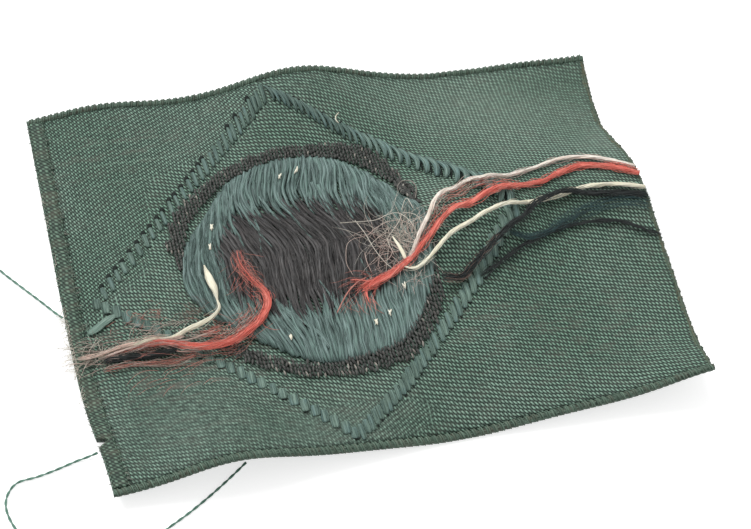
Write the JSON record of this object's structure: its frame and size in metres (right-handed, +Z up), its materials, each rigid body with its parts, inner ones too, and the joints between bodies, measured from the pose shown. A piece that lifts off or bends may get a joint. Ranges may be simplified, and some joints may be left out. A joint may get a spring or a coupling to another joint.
{
  "type": "woven cloth cap badge",
  "caption": "Wavy rectangle of green ribbon lying face down, with a woven diamond, ringed disc of long floats and loose yarn tails on its reverse.",
  "frame": {"origin": "middle of the ribbon's outline, on the surface it lies on", "axes": "+X along the ribbon from its turned end to its cut end, +Y across it towards the upper selvedge, +Z up out of the reverse side"},
  "size_m": [0.0654, 0.0466, 0.0057],
  "materials": {
    "ground_weave": "plain-woven dull green rayon and cotton cloth",
    "selvedge_cord": "twisted dark green corded selvedge",
    "turned_weave": "pressed green cloth with an olive cast",
    "cut_ends": "brownish cut yarn ends",
    "blue_green_yarn": "dull blue-green embroidery rayon with a soft sheen",
    "pale_strip": "pale grey-green flat float",
    "black_yarn": "matt black rayon yarn, slightly frayed",
    "white_yarn": "cream white rayon yarn",
    "red_yarn": "warm red rayon yarn, frizzy at its ends",
    "dark_green_yarn": "dark bottle-green yarn",
    "green_thread": "fine loose green sewing-weight thread"
  },
  "bodies": {
    "root": {"ground_cloth": "ground_weave", "upper_selvedge": "selvedge_cord", "lower_selvedge": "selvedge_cord", "turned_left_end": "turned_weave", "right_cut_edge": "cut_ends", "diamond_upper_left_floats": "blue_green_yarn", "diamond_upper_right_floats": "blue_green_yarn", "diamond_lower_right_floats": "blue_green_yarn", "diamond_lower_left_floats": "blue_green_yarn", "diamond_left_strip": "pale_strip", "ring_upper_floats": "black_yarn", "ring_lower_floats": "black_yarn", "ring_frayed_end": "black_yarn", "disc_green_floats": "blue_green_yarn", "disc_black_floats": "black_yarn", "tie_stitches": "white_yarn", "right_white_tail_upper": "white_yarn", "right_red_tail": "red_yarn", "right_white_tail_lower": "white_yarn", "right_black_tail_upper": "black_yarn", "right_green_tail": "dark_green_yarn", "right_black_tail_lower": "black_yarn", "left_white_tail": "white_yarn", "left_red_tail": "red_yarn", "left_red_frayed_strand": "red_yarn", "left_black_tail": "black_yarn", "loose_thread_left": "green_thread", "loose_thread_loop": "green_thread", "face_black_ring": "black_yarn", "face_white_ring": "white_yarn", "face_red_centre": "red_yarn", "face_diamond_border": "blue_green_yarn"}
  },
  "joints": []
}
